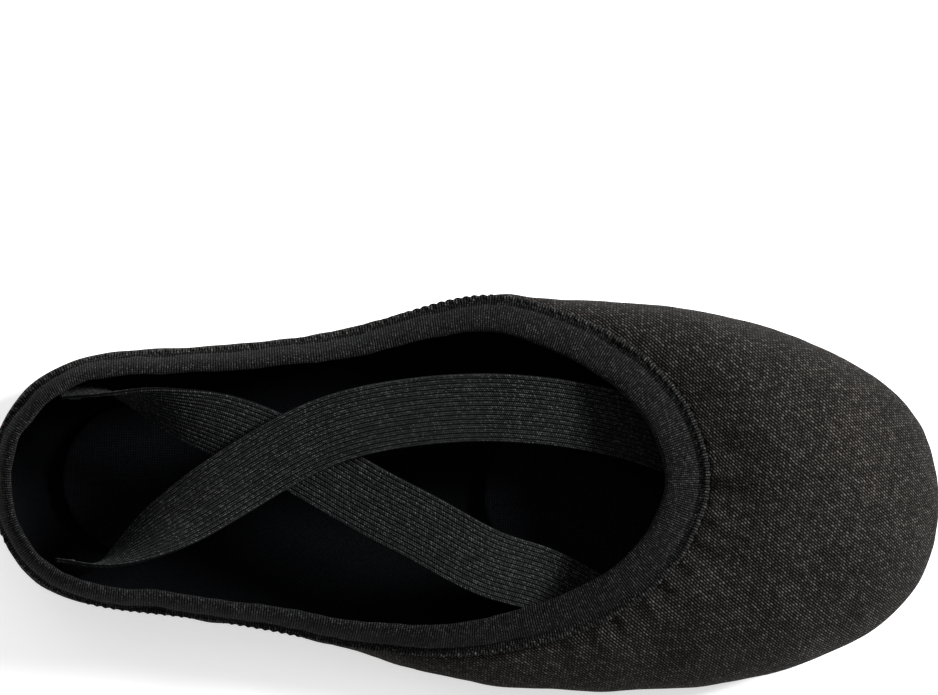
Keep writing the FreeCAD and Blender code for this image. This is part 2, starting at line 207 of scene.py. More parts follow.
class Ribs:
    """The slipper's lines at places given as distances round its outline from the toe."""

    def __init__(self, around):
        self.around = np.asarray(around, dtype=float)
        v = periodic_spline(RING_KNOTS, RING, GIRTH, self.around)
        ahead = periodic_spline(RING_KNOTS, RING, GIRTH, self.around + 0.05)
        up = np.array([0.0, 0.0, 1.0])
        self.outline = np.column_stack([TOE - v[:, 0], v[:, 1], v[:, 2]])
        outline_run = np.column_stack([-(ahead[:, 0] - v[:, 0]), ahead[:, 1] - v[:, 1]])
        seam_run = np.column_stack([-(ahead[:, 3] - v[:, 3]), ahead[:, 4] - v[:, 4]])
        lean = LEAN * (1 - smooth(v[:, 3], LEAN_FROM, LEAN_TO))
        self.seam = np.column_stack([TOE - v[:, 3], v[:, 4] + lean, v[:, 5]])
        self.outward = np.zeros_like(self.outline)
        self.outward[:, :2] = unit(np.column_stack([outline_run[:, 1], -outline_run[:, 0]]))
        inward = np.zeros_like(self.outline)
        inward[:, :2] = unit(np.column_stack([-seam_run[:, 1], seam_run[:, 0]]))
        tilt = np.radians(v[:, 6])[:, None]
        self.climb = inward * np.cos(tilt) + up * np.sin(tilt)
        pulled = tilt - np.radians(PULLED_DOWN) * (1 - smooth(v[:, 3:4], PULLED_FROM, PULLED_TO))
        self.approach = inward * np.cos(pulled) + up * np.sin(pulled)
        self.edge = self.seam + self.climb * BINDING_WIDTH
        self.run = unit(np.column_stack([seam_run, ahead[:, 5] - v[:, 5]]))
        self.face = unit(np.cross(self.climb, self.run))
        self.face *= np.sign(self.face[:, 2:3] + 1e-9)
        self.spine = np.column_stack(
            [TOE - v[:, 7], np.zeros(len(v)), np.full(len(v), SOLE_LEVEL)]
        )
        self.behind = v[:, 0]


# ---------------------------------------------------------------- tools

# Points nearer than this, in metres, are one point.
SAME_PLACE = 0.000002


def deselect():
    if bpy.context.object and bpy.context.object.mode != "OBJECT":
        bpy.ops.object.mode_set(mode="OBJECT")
    bpy.ops.object.select_all(action="DESELECT")


def choose(piece):
    deselect()
    piece.select_set(True)
    bpy.context.view_layer.objects.active = piece


def apply_all(piece):
    """Applies every modifier on a piece, top to bottom."""
    choose(piece)
    for name in [modifier.name for modifier in piece.modifiers]:
        bpy.ops.object.modifier_apply(modifier=name)


def cloth_map(piece, coordinates):
    """Gives each vertex its place on the flat cloth, in metres, as the UV map named Cloth."""
    mesh = piece.data
    while len(mesh.uv_layers) > 1:
        mesh.uv_layers.remove(mesh.uv_layers[-1])
    layer = mesh.uv_layers[0] if mesh.uv_layers else mesh.uv_layers.new(name="Cloth")
    layer.name = "Cloth"
    corner = np.empty(len(mesh.loops), dtype=np.int32)
    mesh.loops.foreach_get("vertex_index", corner)
    layer.uv.foreach_set("vector", coordinates[corner].astype(np.float32).ravel())


def edit_all(piece):
    """Opens a piece in edit mode with all of it selected."""
    choose(piece)
    bpy.ops.object.mode_set(mode="EDIT")
    bpy.ops.mesh.select_all(action="SELECT")


def settle(piece, join=True, close_ends=True):
    """Joins points that lie on each other, closes open ends, and faces a piece outwards."""
    edit_all(piece)
    if join:
        bpy.ops.mesh.remove_doubles(threshold=SAME_PLACE)
    if close_ends:
        bpy.ops.mesh.fill_holes(sides=0)
    bpy.ops.mesh.normals_make_consistent(inside=False)
    bpy.ops.object.mode_set(mode="OBJECT")


def draped_grid(name, points, flat, closed_ring=False):
    """A grid primitive laid on an array of points (rows, columns, 3) in millimetres. flat holds
    each point's place on the flat cloth. A closed ring repeats its first column as its last."""
    rows, columns = points.shape[:2]
    deselect()
    bpy.ops.mesh.primitive_grid_add(x_subdivisions=columns - 1, y_subdivisions=rows - 1, size=1)
    piece = bpy.context.object
    piece.name = name
    piece.data.name = name
    piece.data.vertices.foreach_set("co", (points * MM).astype(np.float32).ravel())
    cloth_map(piece, (flat * MM).reshape(-1, 2))
    settle(piece, join=closed_ring, close_ends=False)
    bpy.ops.object.shade_smooth()
    return piece


def thicken(piece, thickness):
    """Gives a sheet its thickness, grown inwards only."""
    wall = piece.modifiers.new("wall", "SOLIDIFY")
    wall.thickness = thickness * MM
    wall.offset = -1.0
    wall.use_even_offset = False
    apply_all(piece)


def facing_out(piece, middle):
    """Turns an open sheet's faces away from a point inside it."""
    mesh = piece.data
    centres = np.empty(len(mesh.polygons) * 3)
    normals = np.empty(len(mesh.polygons) * 3)
    mesh.polygons.foreach_get("center", centres)
    mesh.polygons.foreach_get("normal", normals)
    away = centres.reshape(-1, 3) - np.array(middle) * MM
    if (away * normals.reshape(-1, 3)).sum() < 0:
        edit_all(piece)
        bpy.ops.mesh.flip_normals()
        bpy.ops.object.mode_set(mode="OBJECT")


def grid_normals(points):
    """Unit normals of a grid of points, from its own rows and columns."""
    down = np.gradient(points, axis=0)
    across = np.gradient(points, axis=1)
    return unit(np.cross(across, down))


def finish_piece(piece, material, body, nodes):
    """Gives a piece its material and what it moves with, and hides the CAD nodes it stands for."""
    piece.data.materials.clear()
    piece.data.materials.append(material)
    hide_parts(*nodes)
    if body == "arch":
        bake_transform(piece)
    else:
        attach(piece, body)
    return piece


# ---------------------------------------------------------------- materials

# Specular level of black cloth, which gives back almost no light off its surface.
MATT = 0.02


class Finish:
    """A material and short ways to add nodes to it."""

    def __init__(self, name, roughness, sheen=0.0, sheen_tint=(1, 1, 1), sheen_roughness=0.5):
        self.material = bpy.data.materials.new(name)
        self.material.use_nodes = True
        self.tree = self.material.node_tree
        self.shader = self.tree.nodes["Principled BSDF"]
        self.set("Roughness", roughness)
        self.set("Sheen Weight", sheen)
        self.set("Sheen Roughness", sheen_roughness)
        self.set("Sheen Tint", (*sheen_tint, 1))
        self.set("Specular IOR Level", MATT)

    def node(self, kind, inputs=None, **settings):
        """A new node. inputs holds numbers or other nodes' outputs by socket."""
        made = self.tree.nodes.new(kind)
        for name, value in settings.items():
            setattr(made, name, value)
        for socket, value in (inputs or {}).items():
            self.feed(made.inputs[socket], value)
        return made

    def feed(self, socket, value):
        if isinstance(value, bpy.types.NodeSocket):
            self.tree.links.new(value, socket)
        else:
            socket.default_value = value

    def math(self, operation, first, second=0.0):
        inputs = {0: first, 1: second}
        return self.node("ShaderNodeMath", inputs, operation=operation).outputs[0]

    def times(self, first, second):
        return self.math("MULTIPLY", first, second)

    def objects(self):
        return self.node("ShaderNodeTexCoord").outputs["Object"]

    def cloth(self, angle=0.0):
        """Flat-cloth coordinates in metres, turned by an angle in degrees, as (x, y)."""
        place = self.node("ShaderNodeUVMap", uv_map="Cloth").outputs[0]
        inputs = {"Rotation": (0, 0, math.radians(angle)), "Vector": place}
        turned = self.node("ShaderNodeMapping", inputs)
        split = self.node("ShaderNodeSeparateXYZ", {0: turned.outputs[0]})
        return split.outputs[0], split.outputs[1]

    def noise(self, where, scale, detail=4.0, roughness=0.5):
        inputs = {"Vector": where, "Scale": scale, "Detail": detail, "Roughness": roughness}
        return self.node("ShaderNodeTexNoise", inputs).outputs["Fac"]

    def remap(self, value, low, high, to_low=0.0, to_high=1.0):
        inputs = {"From Min": low, "From Max": high, "To Min": to_low, "To Max": to_high}
        inputs["Value"] = value
        return self.node("ShaderNodeMapRange", inputs).outputs[0]

    def mix(self, share, first, second):
        inputs = {"Factor": share}
        for socket, colour in ((6, first), (7, second)):
            plain = not isinstance(colour, bpy.types.NodeSocket)
            inputs[socket] = (*colour, 1) if plain else colour
        return self.node("ShaderNodeMix", inputs, data_type="RGBA").outputs[2]

    def relief(self, height, distance, strength=1.0, under=None):
        inputs = {"Distance": distance, "Strength": strength, "Height": height}
        if under is not None:
            inputs["Normal"] = under
        return self.node("ShaderNodeBump", inputs).outputs[0]

    def set(self, name, value):
        self.feed(self.shader.inputs[name], value)

    def weave(self, x, y, pitch_x, pitch_y, crossing=1.0):
        """Crossed threads: the height of the upper thread in each cell and the cell's own random
        number. crossing is how far the threads along y come up."""
        a = self.math("DIVIDE", x, pitch_x)
        b = self.math("DIVIDE", y, pitch_y)
        cell_a = self.math("FLOOR", a)
        cell_b = self.math("FLOOR", b)
        over = self.math("MODULO", self.math("ABSOLUTE", self.math("ADD", cell_a, cell_b)), 2.0)
        hump_a = self.ridge(a)
        hump_b = self.ridge(b)
        along_a = self.times(self.math("POWER", hump_a, 0.45), self.math("POWER", hump_b, 1.1))
        along_b = self.times(self.math("POWER", hump_b, 0.45), self.math("POWER", hump_a, 1.1))
        under = self.times(self.math("SUBTRACT", 1.0, over), crossing)
        height = self.math("ADD", self.times(along_a, over), self.times(along_b, under))
        return height, self.dice(cell_a, cell_b)

    def dice(self, first, second):
        """A random number for each pair of whole numbers."""
        joined = self.node("ShaderNodeCombineXYZ", {0: first, 1: second}).outputs[0]
        thrown = self.node("ShaderNodeTexWhiteNoise", {"Vector": joined}, noise_dimensions="3D")
        return thrown.outputs["Value"]

    def ridge(self, count):
        """0 at whole numbers and 1 half way between."""
        return self.math("SINE", self.times(self.math("FRACT", count), math.pi))

    def wander(self, coordinate, place, scale, reach):
        """Moves a coordinate a little by a noise, so that threads don't run like ruled lines."""
        drift = self.remap(self.noise(place, scale, 2.0), 0.25, 0.75, -reach, reach)
        return self.math("ADD", coordinate, drift)

    def painted_thread_shading(self, height, dice, fibre, power, speck):
        """Painted light and shade of the threads: low places of the weave are painted darker and
        raised ones lighter, scaled by the thread's own tone and by its fibres.
        """
        tone = self.remap(dice, 0, 1, 0.45, 1.25)
        hair = self.remap(fibre, 0.3, 0.7, 0.45, 1.45)
        bright = self.times(self.math("POWER", dice, 7.0), speck)
        lit = self.times(self.math("POWER", height, power), hair)
        return self.times(lit, self.math("ADD", tone, bright))


def scaled(tone, factor):
    return tuple(channel * factor for channel in tone)


def canvas_finish():
    """Black canvas on the bias: slanting rows of raised threads, pores between them painted near
    black as shade, and a faded, slightly brown tone."""
    finish = Finish("black_canvas", 0.86, sheen=0.02, sheen_tint=(1.0, 0.95, 0.90))
    place = finish.objects()
    x, y = finish.cloth(angle=40)
    x = finish.wander(x, place, 420.0, 0.18 * MM)
    y = finish.wander(y, place, 300.0, 0.14 * MM)
    row = finish.math("DIVIDE", y, CANVAS_PITCH * MM)
    step = finish.times(finish.math("FLOOR", row), 0.5)
    along = finish.math("ADD", finish.math("DIVIDE", x, CANVAS_PITCH * 1.45 * MM), step)
    nubs = finish.remap(finish.ridge(along), 0, 1, 0.42, 1.0)
    height = finish.times(finish.ridge(row), nubs)
    dice = finish.dice(finish.math("FLOOR", along), finish.math("FLOOR", row))
    wear = finish.noise(place, 38.0, 5.0, 0.6)
    fibre = finish.noise(place, 3200.0, 2.0)
    lit = finish.painted_thread_shading(height, dice, fibre, 2.1, 0.9)
    fresh, faded = (0.067, 0.0615, 0.0568), (0.088, 0.079, 0.0715)
    thread = finish.mix(finish.remap(wear, 0.35, 0.7), fresh, faded)
    lit = finish.times(lit, 0.62)
    # Painted shade and light: the weave's low places get a near-black colour, its raised threads
    # the thread's tone.
    finish.set("Base Color", finish.mix(lit, (0.0004, 0.0004, 0.0004), thread))
    slack = finish.relief(finish.noise(place, 160.0, 3.0), 0.00025, 0.5)
    finish.set("Normal", finish.relief(height, 0.00025, 0.9, slack))
    return finish.material


def knit_finish(name, tone, pitch=0.63, step=0.50):
    """Knit tape: ribs across its length, each a row of small stitches."""
    finish = Finish(name, 0.88, sheen=0.02, sheen_tint=(0.95, 0.97, 1.0))
    place = finish.objects()
    x, y = finish.cloth()
    x = finish.wander(x, place, 500.0, 0.10 * MM)
    height, dice = finish.weave(x, y, pitch * MM, step * MM, crossing=0.8)
    rib = finish.ridge(finish.math("DIVIDE", x, pitch * MM))
    shape = finish.math("ADD", finish.times(rib, 0.6), finish.times(height, 0.4))
    fibre = finish.noise(place, 2600.0, 2.0)
    # Painted shade and light: the knit is painted dark between its ribs and stitches and lighter on
    # their crowns.
    lit = finish.times(finish.painted_thread_shading(shape, dice, fibre, 2.8, 1.3), 0.5)
    finish.set("Base Color", finish.mix(lit, scaled(tone, 0.04), scaled(tone, 7.0)))
    finish.set("Normal", finish.relief(shape, 0.0002, 0.9))
    return finish.material


def strap_finish():
    """Ribbed woven elastic: slanting weft on each rib, and painted shade as dark lines in the
    grooves between the ribs.
    """
    finish = Finish("strap_elastic", 0.62, sheen=0.02, sheen_tint=(0.95, 1.0, 0.97))
    place = finish.objects()
    x, y = finish.cloth()
    slanted = finish.math("ADD", x, finish.times(y, 0.6))
    height, dice = finish.weave(slanted, y, 0.50 * MM, 0.55 * MM)
    fibre = finish.noise(place, 2600.0, 2.0)
    rib_width = STRAP_WIDTH * MM / STRAP_RIBS
    from_edge = finish.math("ADD", y, STRAP_WIDTH * MM / 2)
    rib = finish.ridge(finish.math("DIVIDE", from_edge, rib_width))
    # Painted shade: the grooves between the ribs are painted dark.
    between = finish.remap(rib, 0.25, 0.75)
    lit = finish.painted_thread_shading(height, dice, fibre, 1.9, 1.6)
    lit = finish.times(finish.times(lit, between), 0.5)
    finish.set("Base Color", finish.mix(lit, (0.0003, 0.0003, 0.0003), (0.064, 0.069, 0.066)))
    finish.set("Normal", finish.relief(height, 0.00015, 0.9))
    return finish.material


def cotton_finish(name, tone, pitch=0.5):
    """Plain black cotton, matt."""
    finish = Finish(name, 0.98)
    x, y = finish.cloth()
    height, dice = finish.weave(x, y, pitch * MM, pitch * MM)
    # Painted shade: the weave is painted darker where its threads lie low.
    lit = finish.times(height, finish.remap(dice, 0, 1, 0.6, 1.3))
    finish.set("Base Color", finish.mix(lit, scaled(tone, 0.3), scaled(tone, 1.6)))
    finish.set("Normal", finish.relief(height, 0.0001, 0.7))
    return finish.material


def thread_finish(name, tone, roughness, gloss):
    """Twisted thread with a gloss."""
    finish = Finish(name, roughness, sheen=0.02)
    finish.set("Specular IOR Level", gloss)
    fibre = finish.remap(finish.noise(finish.objects(), 1800.0, 2.0), 0.3, 0.7)
    finish.set("Base Color", finish.mix(fibre, scaled(tone, 0.5), scaled(tone, 1.5)))
    finish.set("Normal", finish.relief(fibre, 0.00008, 0.5))
    return finish.material


def suede_finish():
    """Black sole suede: a fine pebbled nap with small glints, brushed drifts, and a paler,
    fuzzy skived rim."""
    finish = Finish("black_suede", 0.7, sheen=0.02, sheen_tint=(1, 0.98, 0.95), sheen_roughness=0.6)
    finish.set("Specular IOR Level", 0.08)
    place = finish.objects()
    nap = finish.noise(place, 1500.0, 4.0, 0.7)
    drift = finish.noise(place, 60.0, 4.0, 0.6)
    grain = finish.noise(place, 3000.0, 2.0)
    brushed = finish.remap(drift, 0.3, 0.7, 0.5, 1.2)
    lit = finish.times(finish.remap(nap, 0.42, 0.70), brushed)
    lit = finish.times(lit, finish.remap(grain, 0.35, 0.7, 0.4, 1.5))
    body = finish.mix(lit, (0.0015, 0.0015, 0.0014), (0.022, 0.0215, 0.0205))
    rim = finish.node("ShaderNodeAttribute", attribute_name="rim")
    fuzz = finish.mix(finish.remap(nap, 0.35, 0.65), (0.008, 0.0078, 0.0075), (0.040, 0.039, 0.037))
    finish.set("Base Color", finish.mix(rim.outputs["Fac"], body, fuzz))
    finish.set("Roughness", finish.remap(grain, 0.3, 0.7, 0.55, 0.9))
    coarse = finish.relief(drift, 0.0004, 0.25)
    finish.set("Normal", finish.relief(nap, 0.00028, 0.9, coarse))
    return finish.material


def foam_finish():
    """Dark foam with fine open cells."""
    finish = Finish("insole_foam", 0.9)
    cells = finish.noise(finish.objects(), 3000.0, 2.0)
    finish.set("Base Color", finish.mix(cells, (0.006, 0.006, 0.006), (0.018, 0.018, 0.018)))
    finish.set("Normal", finish.relief(cells, 0.0001, 0.6))
    return finish.material


CANVAS = canvas_finish()
BINDING = knit_finish("knit_binding", (0.0066, 0.0066, 0.0067))
PIPING = knit_finish("seam_piping", (0.0125, 0.0124, 0.0120), 0.70, 0.62)
STRAP = strap_finish()
# The lining, sock and seam tape are black cotton, with tones set far darker than the canvas's:
# painted shade of the slipper's inside.
LINING = cotton_finish("cotton_lining", (0.0018, 0.0020, 0.0025))
SOCK = cotton_finish("cotton_sock", (0.0024, 0.0026, 0.0032), 0.6)
TAPE = cotton_finish("seam_tape", (0.0035, 0.0035, 0.0038), 0.6)
SUEDE = suede_finish()
SOLE_THREAD = thread_finish("sole_thread", (0.014, 0.014, 0.014), 0.28, 0.6)
TACK_THREAD = thread_finish("tack_thread", (0.012, 0.012, 0.0125), 0.4, 0.3)
ELASTIC = knit_finish("binding_elastic", (0.03, 0.03, 0.03))
FOAM = foam_finish()


# ---------------------------------------------------------------- the pads' outlines

# The two halves of the split sole, and the middle line of each behind the toe.
SOLES = (("forefoot", 52.0), ("heel", 196.0))


class Oval:
    """Half an oval to the front of a middle line and half to the back."""

    def __init__(self, middle, fore, aft, half_width):
        self.middle, self.fore, self.aft, self.half_width = middle, fore, aft, half_width

    def at(self, turn, inset):
        """Points at turns round the middle, an inset in from the edge."""
        reach = np.where(np.cos(turn) >= 0, self.fore, self.aft)
        x = self.middle + (reach - inset) * np.cos(turn)
        y = (self.half_width - inset) * np.sin(turn)
        return x, y

    def ring(self, turn, inset, height):
        """The same points at a height."""
        x, y = self.at(turn, inset)
        return np.column_stack([x, y, np.full_like(x, height)])


def oval_of(node, behind_toe):
    """The oval that a CAD pad or insole fills, about a middle line behind the toe."""
    low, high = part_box(node)
    middle = TOE - behind_toe
    return Oval(middle, high[0] / MM - middle, middle - low[0] / MM, high[1] / MM)


# ---------------------------------------------------------------- the canvas and its lining

TOE_GATHERS_TO = 92.0
LOWEST_CANVAS = 0.5
SEAM_PUCKERS = 46
ARCH_MIDDLE = 134
# Dents of the vamp beside the throat: x, y, depth and width in millimetres.
DENTS = (
    (53.0, 25.0, -1.5, 7.0),
    (62.0, 12.5, -2.0, 7.5),
    (63.0, 7.4, 0.8, 5.0),
    (64.0, 2.6, -1.8, 8.0),
    (60.0, -14.0, -0.9, 7.0),
)


def ring_places(fine_toe, coarse):
    """Places round the outline, closer together at the toe, with the first repeated last."""
    toe = np.arange(0, TOE_GATHERS_TO, fine_toe)
    side = np.linspace(TOE_GATHERS_TO, GIRTH / 2, int((GIRTH / 2 - TOE_GATHERS_TO) / coarse))
    left = np.concatenate([toe, side])
    return np.concatenate([left, (GIRTH - left)[::-1][1:]])


def upper_nodes(cloth):
    """The CAD nodes of one layer of the upper."""
    return [f"{length}_{cloth}" for length in ("vamp", "arch", "left_quarter", "right_quarter")]


def top_line_nodes(kind):
    """The CAD nodes of one band of the top line."""
    return [f"{length}_{kind}" for length in ("throat", "arch_left", "arch_right", "heel")]


def above_outline(points, low_rows):
    """1 for the rows of the upper over its outline and 0 for the rows under it."""
    return (np.arange(points.shape[0]) >= low_rows).astype(float)[:, None]


def arc_lengths(points):
    """Distance along each column of a grid of points from its last row."""
    steps = np.linalg.norm(np.diff(points[::-1], axis=0), axis=-1)
    run = np.concatenate([np.zeros((1, points.shape[1])), np.cumsum(steps, axis=0)])
    return run[::-1]


SHOULDER_POWER = 3.6
LOW_ROWS = 30
HIGH_ROWS = 38


def upper_sheet(ribs, inset=0.0):
    """The upper as a grid of points, from the sole's middle line, round the outline and up to
    the binding's seam, drawn in by an inset. The second result counts the rows under it."""
    outline = ribs.outline - ribs.outward * inset
    outline[:, 2] += inset * 0.3
    seam = ribs.seam - ribs.face * inset
    spine = ribs.spine + np.array([0, 0, inset])
    turn = (np.linspace(0, 1, LOW_ROWS, endpoint=False) ** 1.6 * math.pi / 2)[:, None, None]
    reach = np.sin(turn) ** (2 / SHOULDER_POWER)
    lift = 1 - np.cos(turn) ** (2 / SHOULDER_POWER)
    low = spine + (outline - spine) * np.concatenate([reach, reach, lift], axis=2)
    rise = (seam[:, 2] - outline[:, 2])[:, None]
    span = np.linalg.norm(seam - outline, axis=1)[:, None]
    flat_share = smooth(span, 18, 45)
    handle_low = outline + np.array([0, 0, 1.0]) * rise * (0.50 + 0.10 * flat_share)
    handle_high = seam - ribs.approach * span * (0.36 + 0.10 * flat_share)
    t = (np.linspace(0, 1, HIGH_ROWS) ** 1.15)[:, None, None]
    high = (
        outline * (1 - t) ** 3
        + handle_low * 3 * t * (1 - t) ** 2
        + handle_high * 3 * t**2 * (1 - t)
        + seam * t**3
    )
    return np.concatenate([low, high]), LOW_ROWS


def flat_places(points, ribs, low_rows):
    """Where each point of the upper lies on the flat cloth: straight down where the cloth lies
    flat on top, and further out by its own length where it turns down and under."""
    run = arc_lengths(points)
    top = points[-1, :, :2]
    plan = points[:, :, :2] - top
    held = np.linalg.norm(plan, axis=-1)
    reach = held.copy()
    reach[:low_rows] = held[low_rows]
    shift = plan.copy()
    shift[:low_rows] = plan[low_rows]
    return top + shift + ribs.outward[None, :, :2] * (run - reach)[..., None]


def gathers(around, spacing, half_reach, seed):
    """Puffs between creases: 0 in a crease and up to 1 on a puff, faded away from the middle."""
    own = np.random.default_rng(seed)
    signed = np.mod(around + GIRTH / 2, GIRTH) - GIRTH / 2
    valleys = [-1.3 * half_reach]
    while valleys[-1] < 1.3 * half_reach:
        valleys.append(valleys[-1] + spacing * own.uniform(0.6, 1.4))
    valleys = np.array(valleys)
    heights = own.uniform(0.55, 1.0, len(valleys))
    cell = np.clip(np.searchsorted(valleys, signed) - 1, 0, len(valleys) - 2)
    share = (signed - valleys[cell]) / (valleys[cell + 1] - valleys[cell])
    puff = np.sin(np.clip(share, 0, 1) * math.pi) ** 0.6 * heights[cell]
    return puff * (1 - smooth(np.abs(signed), half_reach * 0.55, half_reach))


def share_out(points, ribs):
    """How far out each point is from the sole's middle line: 0 there and 1 at the outline."""
    from_spine = np.linalg.norm(points[:, :, :2] - ribs.spine[None, :, :2], axis=-1)
    return from_spine / np.linalg.norm(ribs.outline[:, :2] - ribs.spine[:, :2], axis=-1)[None, :]


def gathered(points, ribs, low_rows):
    """How far the gathers under the toe and heel stand out, past the soles' edges."""
    over = above_outline(points, low_rows)
    share = share_out(points, ribs)
    climbed = np.clip((points[:, :, 2] - ribs.outline[None, :, 2]) / 12, 0, 1) * over
    fade = (1 - over) * smooth(share, 0.28, 0.42) * (1 - 0.98 * smooth(share, 0.55, 0.95))
    fade = fade + over * 0.03 * (1 - smooth(climbed, 0.0, 0.9))
    toe = gathers(ribs.around, 9.5, 100.0, 31)[None, :]
    toe_folds = gathers(ribs.around, 4.1, 84.0, 32)[None, :]
    heel = gathers(ribs.around - GIRTH / 2, 8.5, 52.0, 33)[None, :]
    lift = 2.3 * (toe - 0.42) * (toe > 0) + 0.55 * (toe_folds - 0.3)
    lift = lift + 0.9 * (heel - 0.35) * (heel > 0)
    return lift * fade


def soft_waves(points, amplitude, size, count=22, seed=3):
    """Smooth uneven waves over a grid of points, from a few sines in set directions."""
    own = np.random.default_rng(seed)
    total = np.zeros(points.shape[:2])
    for _ in range(count):
        direction = unit(own.normal(size=3) * (1, 1, 0.6))
        wave = TAU / (size * own.uniform(0.6, 1.7))
        total += np.sin((points @ direction) * wave + own.uniform(0, TAU))
    return total * amplitude / math.sqrt(count)


def slackness(points, from_seam, over):
    """The soft unevenness that canvas and lining share: broad waves and a few dents."""
    lift = soft_waves(points, 0.32, 34.0) * smooth(from_seam, 0, 6) * (0.25 + 0.75 * over)
    for x, y, depth, wide in DENTS:
        away = ((points[:, :, 0] - x) / wide) ** 2 + ((points[:, :, 1] - y) / (wide * 0.6)) ** 2
        lift = lift + depth * np.exp(-away) * over
    return lift


def upward_facing(points, low_rows):
    """Normals of an upper's grid that point out of the slipper."""
    normals = grid_normals(points)
    return normals if normals[low_rows + 4, 0, 0] > 0 else -normals


def over_pads(points):
    """1 above a sole pad and 0 away from it, with a soft edge."""
    near = np.zeros(points.shape[:2])
    for prefix, middle in SOLES:
        oval = oval_of(f"{prefix}_sole_pad", middle)
        x = points[:, :, 0] - oval.middle
        reach = np.where(x >= 0, oval.fore, oval.aft)
        out = np.hypot(x / reach, points[:, :, 1] / oval.half_width)
        near = np.maximum(near, 1 - smooth(out, 0.95, 1.03))
    return near


def shaped_canvas(points, ribs, low_rows):
    """Gathers under the toe and heel, puckers along the seam and the dents of soft cloth."""
    normals = upward_facing(points, low_rows)
    over = above_outline(points, low_rows)
    under = 1 - over
    around = ribs.around[None, :]
    share = share_out(points, ribs)
    lift = gathered(points, ribs, low_rows)
    arch = np.exp(-(((ribs.behind[None, :] - ARCH_MIDDLE) / 20) ** 2))
    ripple = 1 + np.sin(points[:, :, 0] / 2.6 + points[:, :, 1] / 9)
    lift = lift + under * arch * 0.28 * ripple
    from_seam = arc_lengths(points)
    pucker = np.sin(around / GIRTH * TAU * SEAM_PUCKERS + 1.7 * np.sin(around / 17.0))
    near = np.exp(-((from_seam / 7.0) ** 2)) * smooth(from_seam, 0.0, 2.5)
    pull = 1 - 0.65 * smooth(ribs.behind[None, :], 60, 110)
    lift = lift + 0.55 * (pucker + 0.5) * near * pull * over
    lift = lift - 0.30 * np.exp(-(((from_seam - 1.6) / 1.3) ** 2)) * over
    lift = lift + slackness(points, from_seam, over)
    lift = lift + soft_waves(points, 0.07, 9.0, seed=5) * smooth(from_seam, 0, 4)
    back = np.abs(around - GIRTH / 2)
    seam_groove = np.exp(-((back / 0.7) ** 2))
    seam_rolls = np.exp(-(((back - 1.9) / 1.1) ** 2))
    lift = lift + (0.28 * seam_rolls - 0.30 * seam_groove) * smooth(share, 0.55, 0.8)
    moved = points + normals * lift[..., None]
    floor = LOWEST_CANVAS + (PAD_TOP - LOWEST_CANVAS) * over_pads(points)
    moved[:, :, 2] = np.maximum(moved[:, :, 2], floor)
    return moved


def make_canvas():
    ribs = Ribs(ring_places(0.75, 1.5))
    points, low_rows = upper_sheet(ribs)
    flat = flat_places(points, ribs, low_rows)
    points = shaped_canvas(points, ribs, low_rows)
    piece = draped_grid("canvas_upper", points, flat, closed_ring=True)
    facing_out(piece, INSIDE)
    thicken(piece, CANVAS_THICKNESS)
    return finish_piece(piece, CANVAS, "arch", upper_nodes("canvas"))


def make_lining():
    ribs = Ribs(ring_places(1.5, 2.4))
    points, low_rows = upper_sheet(ribs, LINING_INSET)
    flat = flat_places(points, ribs, low_rows)
    over = above_outline(points, low_rows)
    lift = slackness(points, arc_lengths(points), over) + 0.9 * gathered(points, ribs, low_rows)
    points = points + upward_facing(points, low_rows) * lift[..., None]
    points[:low_rows, :, 2] += LINING_RAISED * (1 - np.linspace(0, 1, low_rows)[:, None] ** 2)
    piece = draped_grid("lining", points, flat, closed_ring=True)
    facing_out(piece, INSIDE)
    thicken(piece, LINING_THICKNESS)
    return finish_piece(piece, LINING, "arch", upper_nodes("lining"))


def make_back_tape():
    """The tape that covers the back seam inside, up to the binding."""
    half = TAPE_WIDTH / 2
    ribs = Ribs(np.linspace(GIRTH / 2 - half, GIRTH / 2 + half, 13))
    points, low_rows = upper_sheet(ribs, TAPE_INSET)
    points = points[low_rows + 2 :]
    climbed = arc_lengths(points)
    across = np.broadcast_to(ribs.around - GIRTH / 2, climbed.shape)
    piece = draped_grid("heel_seam_tape", points, np.dstack([across, climbed]))
    facing_out(piece, INSIDE)
    thicken(piece, TAPE_THICKNESS)
    return finish_piece(piece, TAPE, "heel", ("back_seam_tape",))


# ---------------------------------------------------------------- the top line


def even_ribs(spacing):
    """Ribs at even distances along the seam of the binding, with the first repeated last."""
    places = np.linspace(0, GIRTH, 2400)
    steps = np.linalg.norm(np.diff(Ribs(places).seam, axis=0), axis=1)
    run = np.concatenate([[0], np.cumsum(steps)])
    even = np.linspace(0, run[-1], int(run[-1] / spacing))
    return Ribs(np.interp(even, run, places)), even


def ring_band(name, ribs, run, section, stray=0.0):
    """A closed cross-section swept along the top line. The section's points are distances up the
    binding from its seam and out from its face. stray is how unevenly the band lies."""
    section = np.array(section + section[:1], dtype=float)
    up, out = section[:, 0][:, None, None], section[:, 1][:, None, None]
    points = ribs.seam + ribs.climb * up + ribs.face * out
    if stray:
        middle = np.broadcast_to(ribs.seam + ribs.climb * 5, points.shape)
        points = points + ribs.face * soft_waves(middle, stray, 16.0, seed=11)[..., None]
        points = points + ribs.face * soft_waves(points, stray * 0.4, 5.0, seed=12)[..., None]
    steps = np.linalg.norm(np.diff(section, axis=0), axis=1)
    across = np.concatenate([[0], np.cumsum(steps)])[:, None]
    flat = np.dstack(np.broadcast_arrays(run[None, :], across))
    return draped_grid(name, points, flat, closed_ring=True)


